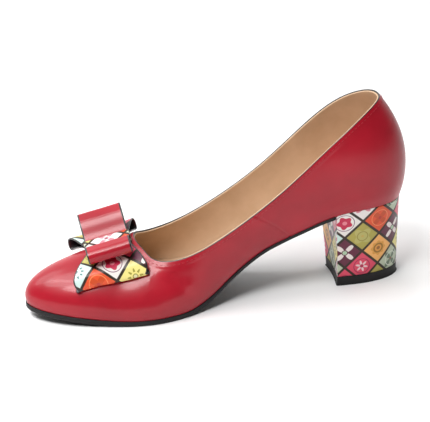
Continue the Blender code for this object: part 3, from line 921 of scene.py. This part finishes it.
def stations(start, stop, count, round_start):
    """Places from start to stop by a sine wave, close together at the round ends."""
    low = -math.pi / 2 if round_start else 0.0
    wave = np.sin(np.linspace(low, math.pi / 2, count))
    return start + (stop - start) * (wave - wave[0]) / (wave[-1] - wave[0])


def plate_ring(edges, start, round_start):
    """Closed outline of a plate: inner edge to the toe, outer edge back, and a straight end if it is cut."""
    tip = edges[0][-1]
    alongs = stations(start, tip[0], PLATE_STATIONS, round_start)
    inner, outer = edge_points(edges[0], alongs), edge_points(edges[1], alongs)[::-1]
    inner[-1] = outer[0] = tip
    if round_start:
        return np.concatenate([inner, outer[1:-1]])
    share = np.linspace(0, 1, PLATE_SHARES)[1:-1, None]
    return np.concatenate([inner, outer[1:], blend(outer[-1], inner[0], share)])


def spine_of(ring, edges, inset):
    """Point of the plate's middle line that each outline point faces."""
    along = np.clip(ring[:, 0], ring[:, 0].min() + inset, ring[:, 0].max() - inset)
    return (edge_points(edges[0], along) + edge_points(edges[1], along)) / 2


def make_sole(finish):
    """Sole: rays from a middle line to the outline, over the top, round the edge and back underneath.

    Its edge is a small quarter round above and a larger one below.
    """
    edges = outline_edges(SOLE_STANDS_OUT)
    ring = plate_ring(edges, BREAST * LENGTH + GAP, False)
    spine = spine_of(ring, edges, SOLE_SPINE_INSET)
    reach = unit(ring - spine)
    top_drop, top_inset = quarter_round(SOLE_TOP_CORNER)
    low_inset, low_rise = quarter_round(SOLE_CORNER)
    flat = [blend(spine, ring - reach * SOLE_CORNER, s) for s in np.linspace(0, 1, PLATE_SHARES)]
    edge = [ring - reach * inset for inset in (*top_inset, *low_inset)]
    places = np.stack(flat + edge + flat[::-1], axis=1)
    top = bottom_height(places)
    waist = np.clip((WAIST_FROM - places[..., 0] / LENGTH) / WAIST_RUN, 0, 1)
    low = top - GAP - SOLE_THICKNESS + WAIST_THINNING * waist
    over = PLATE_SHARES + EDGE_STEPS
    top[:, PLATE_SHARES:over] -= top_drop
    low[:, over : over + EDGE_STEPS] += low_rise
    grid = lifted(places, np.concatenate([top[:, :over], low[:, over:]], axis=1))
    piece("sole", to_frame(grid), [finish], "outsole", close_columns=False)


def make_footbed(finish):
    """Footbed: rays from a middle line to the wall, its rim rolled up a little against the lining."""
    edges = outline_edges(-FOOTBED_INSET)
    ring = plate_ring(edges, edges[0][0, 0], True)
    spine = spine_of(ring, edges, FOOTBED_SPINE_INSET)
    rim = np.linspace(FOOTBED_FLAT, 1, FOOTBED_RIM_STEPS)
    share = np.concatenate([np.linspace(0, FOOTBED_FLAT, PLATE_SHARES), rim[1:]])
    places = blend(spine[:, None], ring[:, None], share[None, :, None])
    base = bottom_height(places)
    over = base + FOOTBED_THICKNESS + FOOTBED_ROLL * smooth_step(FOOTBED_ROLL_FROM, 1.0, share)
    grid = np.concatenate([lifted(places, over), lifted(places, base)[:, ::-1]], axis=1)
    piece("footbed", to_frame(grid), [finish], "insole", close_columns=False)


def heel_outlines():
    """Heel outline at the seat and at the floor: the feather edge round the back, and a hollow breast.

    The corners are rounded by a bell-shaped average along the ring.
    """
    breast = BREAST * LENGTH
    back = FEATHER_INNER[0, 0]
    alongs = stations(back, breast, HEEL_SIDE_STEPS, True)[::-1]
    inner, outer = edge_points(FEATHER_INNER, alongs), edge_points(FEATHER_OUTER, alongs)[-2::-1]
    share = np.linspace(0, 1, HEEL_BREAST_STEPS)[1:-1, None]
    front = blend(outer[-1], inner[0], share)
    front[:, 0] -= BREAST_HOLLOW * np.sin(math.pi * share[:, 0])
    closed, lengths = closed_lengths(np.concatenate([inner, outer, front]))
    ring = even_steps(closed, lengths, HEEL_TURNS)
    reach = np.arange(-HEEL_CORNER_STEPS, HEEL_CORNER_STEPS + 1)
    weight = bell(reach * lengths[-1] / HEEL_TURNS, HEEL_CORNER * math.sqrt(2))
    seat = sum(w * np.roll(ring, k, axis=0) for w, k in zip(weight / weight.sum(), reach))
    width = HEEL_FOOT_WIDTH / np.ptp(seat[:, 1])
    depth = (HEEL_FOOT_BREAST - HEEL_FOOT_BACK) * LENGTH / (breast - back)
    foot = np.column_stack([HEEL_FOOT_BACK * LENGTH + (seat[:, 0] - back) * depth, seat[:, 1] * width])
    return seat, foot


def heel_ring(seat, foot, level):
    """Heel outline at a level, 0 at the floor and 1 at the seat: a blend by level^HEEL_CURVE."""
    return blend(foot, seat, level**HEEL_CURVE)


def make_heel_cover(seat, foot, cover):
    """Cover from the seat down to the top piece, its print placed by length round the ring and by height."""
    rings = []
    for level in np.linspace(1, LIFT_LEVEL, HEEL_LEVELS):
        ring = heel_ring(seat, foot, level)
        top = bottom_height(ring) - GAP / 2
        share = (level - LIFT_LEVEL) / (1 - LIFT_LEVEL)
        rings.append(lifted(ring, blend(LIFT_HEIGHT + GAP / 2, top, share)))
    grid = capped(rings)
    middle = heel_ring(seat, foot, HEEL_PRINT_LEVEL)
    around = closed_lengths(middle)[1]
    from_tile = np.where(middle[:, 1] < 0, np.abs(middle[:, 0] - HEEL_TILE_ALONG), LENGTH)
    around -= around[np.argmin(from_tile)]
    height = np.concatenate([grid, grid[:1]])[..., 2] - HEEL_TILE_HEIGHT
    uv = np.stack(np.broadcast_arrays(around[:, None], height), axis=-1)
    piece("heel_cover", to_frame(grid), [cover], "heel_block", close_columns=False, uv=uv)


def make_top_piece(seat, foot, rubber):
    """Top piece under the heel, with a small bevel above and a quarter round at the floor."""
    steps = [(LIFT_LEVEL, LIFT_TOP_CORNER, LIFT_HEIGHT), (LIFT_LEVEL, 0.0, LIFT_HEIGHT - LIFT_TOP_CORNER)]
    steps += [(0.0, inset, height) for inset, height in zip(*quarter_round(LIFT_CORNER))]
    rings = []
    for level, inset, height in steps:
        ring = heel_ring(seat, foot, level)
        ring = ring - outward(ring) * inset
        rings.append(lifted(ring, height))
    grid = to_frame(capped(rings))
    piece("heel_top_piece", grid, [rubber], "heel_lift", close_columns=False)


# Bow


def bow_axes(tree):
    """Origin and axes of the bow: across (to the outer side), along (to the heel) and off the vamp."""
    start = Vector((LENGTH / 2 - BOW_ALONG * LENGTH, BOW_OUT, COUNTER_TOP))
    origin = np.array(tree.ray_cast(start, Vector((0, 0, -1)))[0])
    turn = np.array([math.sin(BOW_YAW), math.cos(BOW_YAW), 0.0])
    ahead = np.array([math.cos(BOW_YAW), -math.sin(BOW_YAW), 0.0])
    up = np.array([0.0, 0.0, 1.0])
    across = turn * math.cos(BOW_ROLL) + up * math.sin(BOW_ROLL)
    along = ahead * math.cos(BOW_PITCH) + up * math.sin(BOW_PITCH)
    off = unit(np.cross(along, across))
    return origin, across, np.cross(across, off), off


def on_bow(axes, across, along, height):
    """Points at places across, along and off the bow's base: each place times its axis, from the origin."""
    origin, a, b, off = axes
    return origin + a * across[..., None] + b * along[..., None] + off * height[..., None]


def vamp_field(tree, axes):
    """Height of the vamp over the bow's base plane on an even grid, by rays down the plane's normal."""
    origin, a, b, off = axes
    ticks = np.linspace(-VAMP_HALF, VAMP_HALF, VAMP_SAMPLES)
    field = np.full((VAMP_SAMPLES, VAMP_SAMPLES), -VAMP_RAY)
    for r, q in enumerate(ticks):
        for c, p in enumerate(ticks):
            hit = tree.ray_cast(Vector(origin + a * q + b * p + off * VAMP_RAY), Vector(-off))[3]
            if hit is not None:
                field[r, c] = VAMP_RAY - hit
    return ticks, field


def vamp_heights(vamp, across, along):
    """Height of the vamp, read between the field's points."""
    ticks, field = vamp
    step = ticks[1] - ticks[0]
    r, c = (np.clip((place - ticks[0]) / step, 0, len(ticks) - 1) for place in (across, along))
    return read_grid(field[..., None], r, c)[..., 0]


def loop_path(reach, height, pinch, opens_over):
    """Share out from the waist, side, and height over the lower sheet, round a flat closed loop.

    The sheets part as a smooth step from the strap outwards, and meet in a half ellipse at each fold.
    """
    held = (STRAP_WIDTH / 2 + BOW_CLEARANCE) / reach
    wave = np.sin(np.linspace(0, math.pi / 2, LOOP_STEPS))
    share = np.concatenate([[0, held / 2], blend(held, 1, wave)])
    swell = blend(pinch, height, smooth_step(held, held + opens_over, share))
    fold = 1 - height / 2 / reach
    turn = np.clip((share - fold) / (1 - fold), 0, 1)
    half = swell / 2 * np.sqrt(1 - turn**2)
    top, bottom = swell / 2 + half, swell / 2 - half
    shares = np.concatenate([share, share[-2::-1], share[1:], share[-2:0:-1]])
    heights = np.concatenate([top, bottom[-2::-1], bottom[1:], top[-2:0:-1]])
    side = np.where(np.arange(len(shares)) <= 2 * (len(share) - 1), 1.0, -1.0)
    return shares, side, heights


def band_profile(thickness):
    """Round a strip's section: share of the width, place past the edge, place through the thickness, finish.

    The finish is 0 on the face, 1 on the painted edges and 2 on the back.
    """
    shares = np.concatenate([[-0.5], np.linspace(-0.5, 0.5, BAND_STEPS), [0.5]])
    pasts = np.zeros(len(shares))
    pasts[1], pasts[-2] = EDGE_PAINT, -EDGE_PAINT
    faces = np.full(len(shares), thickness / 2)
    turn = np.linspace(0, math.pi, BAND_EDGE_STEPS + 1)[1:-1]
    bulge, through = np.sin(turn) * thickness / 2, np.cos(turn) * thickness / 2
    count, edge = len(shares), len(turn)
    share = np.concatenate([shares, np.full(edge, 0.5), shares[::-1], np.full(edge, -0.5)])
    past = np.concatenate([pasts, bulge, pasts[::-1], -bulge])
    face = np.concatenate([faces, through, -faces, -through])
    kind = np.full(len(share), 1)
    kind[1 : count - 2] = 0
    kind[count + edge + 1 : 2 * count + edge - 2] = 2
    return share, past, face, kind


def make_band(name, axes, path, width, skew, ground, thickness, finishes, node, uv_at=None):
    """A closed strip: its section carried round the loop, half the thickness to each side of the path."""
    across_path, height = path
    share, past, face, kind = band_profile(thickness)
    along = share[None, :] * width[:, None] + past[None, :] - skew[:, None]
    across = np.repeat(across_path[:, None], len(share), axis=1)
    mid = ground(across, along) + height[:, None]
    run_across, run_up = ring_run(across), ring_run(mid)
    length = np.hypot(run_across, run_up)
    q = across - face * run_up / length
    h = mid + face * run_across / length
    grid = on_bow(axes, q, along, h)
    uv = None
    if uv_at:
        walked = closed_lengths(np.stack([across_path, mid[:, len(share) // 4]], axis=1))[1]
        along_closed = np.pad(along, ((0, 1), (0, 1)), mode="wrap")
        uv = uv_at(along_closed, walked[:, None] + 0 * along_closed)
    piece(name, grid, finishes, node, uv=uv, finish_of_column=kind)


def make_print_loop(axes, vamp, finishes):
    """Lower loop: flared from its waist, lying on the vamp and drooping where the vamp falls away.

    On the inner side its corners are quarter circles in plan, so the width falls by two radii at the fold.
    """
    shares, side, heights = loop_path(PRINT_REACH, PRINT_LOOP_HEIGHT, PRINT_LEATHER + GAP, PRINT_OPENS_OVER)
    outer = side > 0
    end = np.where(outer, PRINT_OUTER_WIDTH, PRINT_INNER_WIDTH)
    round_share = PRINT_INNER_CORNER / PRINT_REACH
    turned = np.where(outer, 0, np.clip((shares - 1 + round_share) / round_share, 0, 1))
    width = blend(PRINT_WAIST_WIDTH, end, shares)
    width -= 2 * PRINT_INNER_CORNER * (1 - np.sqrt(1 - turned**2))
    skew = np.where(outer, PRINT_OUTER_SKEW, PRINT_INNER_SKEW) * shares
    swell = 1 + PRINT_OUTER_SWELL * outer * shares
    lift = BOW_CLEARANCE + PRINT_LEATHER / 2 + PRINT_OUTER_LIFT * outer * shares**2

    def ground(across, along):
        """The vamp, or the droop's limit where the vamp falls below it."""
        return np.maximum(vamp_heights(vamp, across, along), -PRINT_DROOP * shares[:, None] ** 2)

    fold = np.argmax(shares * ~outer)
    tile_u, tile_v = tile_centre(BOW_TILE)

    def uv_at(along, walked):
        """Place on the print: towards the toe, and the length walked from the inner fold."""
        toe_ward = BOW_ALONG * LENGTH - along - BOW_TILE_ALONG
        return np.stack([tile_u + toe_ward, tile_v + walked - walked[fold]], axis=-1)

    make_band(
        "bow_print_loop", axes, (shares * side * PRINT_REACH, lift + heights * swell), width, skew, ground,
        PRINT_LEATHER, finishes, "bow_under", uv_at,
    )


def make_red_loop(axes, vamp, under, finishes):
    """Upper loop: an even strip whose two sides rise from the waist."""
    shares, side, heights = loop_path(RED_REACH, RED_LOOP_HEIGHT, RED_LEATHER + GAP, RED_OPENS_OVER)
    free = np.maximum(shares * RED_REACH - STRAP_WIDTH / 2 - BOW_CLEARANCE, 0)
    slope = np.where(side > 0, math.tan(RED_OUTER_RISE), math.tan(RED_INNER_RISE))
    rise = under + RED_LEATHER / 2 + free * slope

    def ground(across, along):
        """The vamp under the waist."""
        return vamp_heights(vamp, 0 * across, along)

    make_band(
        "bow_red_loop", axes, (shares * side * RED_REACH, rise + heights), np.full(len(shares), RED_WIDTH),
        np.zeros(len(shares)), ground, RED_LEATHER, finishes, "bow_top",
    )


def make_strap(axes, vamp, under, finishes):
    """Strap over the waists: up from the vamp in front, over on rounded corners, and down to it behind."""
    corner = GAP + STRAP_LEATHER / 2
    reach = RED_WIDTH / 2 + corner
    flat = np.linspace(-reach + corner, reach - corner, STRAP_STEPS)
    top = vamp_heights(vamp, 0 * flat, flat) + under + STRAP_LEATHER / 2
    feet = np.array([-reach, reach])
    ground = vamp_heights(vamp, 0 * feet, feet) + STRAP_FOOT_GAP
    away, lower = quarter_round(corner, endpoint=False)
    along = np.concatenate([feet[:1], feet[0] + away, flat, feet[1] - away[::-1], feet[1:]])
    height = np.concatenate([ground[:1], top[0] - lower, top, top[-1] - lower[::-1], ground[1:]])
    run = unit(np.gradient(np.stack([along, height], axis=1), axis=0))
    share, past, face, _ = band_profile(STRAP_LEATHER)
    q = (share * STRAP_WIDTH + past)[None, :]
    p = along[:, None] - face[None, :] * run[:, 1:]
    h = height[:, None] + face[None, :] * run[:, :1]
    grid = capped(on_bow(axes, q, p, h))
    lengths = np.cumsum(np.hypot(np.diff(along), np.diff(height)))
    walked = np.concatenate([[0, 0], lengths, lengths[-1:]])
    walked += tile_centre(STRAP_TILE)[0] - walked[-1] / 2
    around = np.append(q, q[0, 0]) + tile_centre(STRAP_TILE)[1]
    uv = np.stack(np.broadcast_arrays(walked[None, :], around[:, None]), axis=-1)
    piece("bow_strap", grid, finishes, "bow_knot", close_columns=False, uv=uv)


def make_bow(tree, red, cover, black):
    """Bow on the vamp: the lower loop, the upper loop on it and the strap over both."""
    axes = bow_axes(tree)
    vamp = vamp_field(tree, axes)
    print_top = 2 * BOW_CLEARANCE + 2 * PRINT_LEATHER + GAP
    make_print_loop(axes, vamp, [cover, black, black])
    make_red_loop(axes, vamp, print_top, [red, black, red])
    make_strap(axes, vamp, print_top + 2 * RED_LEATHER + 2 * GAP, [cover])


# Floor, light and camera


def make_floor(finish):
    """A flat square of floor, far wider than the shoe."""
    corners = FLOOR_HALF * np.array([(-1, -1, 0), (1, -1, 0), (1, 1, 0), (-1, 1, 0)])
    made = mesh_object("floor", corners, np.array([(0, 1, 2, 3)]), [finish])


def panel_light(name, place, long_way, size, power):
    """An oval panel that faces the shoe, with its longer measure along long_way."""
    light = bpy.data.lights.new(name, "AREA")
    light.shape = "ELLIPSE"
    light.size, light.size_y = size
    light.energy = power
    made = new_object(name, light)
    made.location = place
    back = (Vector(place) - LIGHT_TARGET).normalized()
    side = (Vector(long_way) - back * back.dot(Vector(long_way))).normalized()
    made.rotation_euler = Matrix((side, back.cross(side), back)).transposed().to_euler()


def make_light():
    """Soft studio light: a pale backdrop that glows by BACKDROP * max(y, 0) + ROOM, and the oval panels."""
    world = bpy.data.worlds.new("studio")
    bpy.context.scene.world = world
    world.use_nodes = True
    tree = world.node_tree
    way = tree.nodes.new("ShaderNodeTexCoord").outputs["Generated"]
    split = tree.nodes.new("ShaderNodeSeparateXYZ")
    tree.links.new(way, split.inputs["Vector"])
    glow = Value(tree, split.outputs["Y"]).math("MAXIMUM", 0.0) * BACKDROP + ROOM
    room = tree.nodes["Background"]
    room.inputs["Color"].default_value = (1, 1, 1, 1)
    tree.links.new(glow.socket, room.inputs["Strength"])
    for panel in PANELS:
        panel_light(*panel)


def make_camera():
    """Camera where the photograph was taken from, turned to the shoe and zoomed on it."""
    camera = bpy.data.cameras.new("camera")
    camera.sensor_width = SENSOR
    camera.lens = LENS
    made = new_object("camera", camera)
    made.location = CAMERA_PLACE
    made.rotation_euler = np.radians(CAMERA_TURN)
    bpy.context.scene.camera = made


def main():
    """The materials, every piece of the shoe, then floor, light and camera."""
    red = leather(
        "red_leather", RED, RED_DEEP,
        roughness=0.42, coat=0.40, specular=0.22, grain=1100.0, blotch=38.0,
    )
    lining = leather(
        "lining_leather", BEIGE, BEIGE_DEEP,
        roughness=0.62, coat=0.0, specular=0.4, grain=1300.0, blotch=60.0,
    )
    cover = printed_leather()
    black = edge_black()
    rubber = black_sole()
    tree = BVHTree.FromObject(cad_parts["upper"], bpy.context.evaluated_depsgraph_get())
    surface, normals, relief = make_upper(red, lining, black)
    make_stitches(surface, normals, relief, thread_red())
    make_footbed(lining)
    make_sole(rubber)
    seat, foot = heel_outlines()
    make_heel_cover(seat, foot, cover)
    make_top_piece(seat, foot, rubber)
    make_bow(tree, red, cover, black)
    make_floor(floor_white())
    make_light()
    make_camera()
    bpy.context.scene.view_settings.view_transform = "Standard"


main()
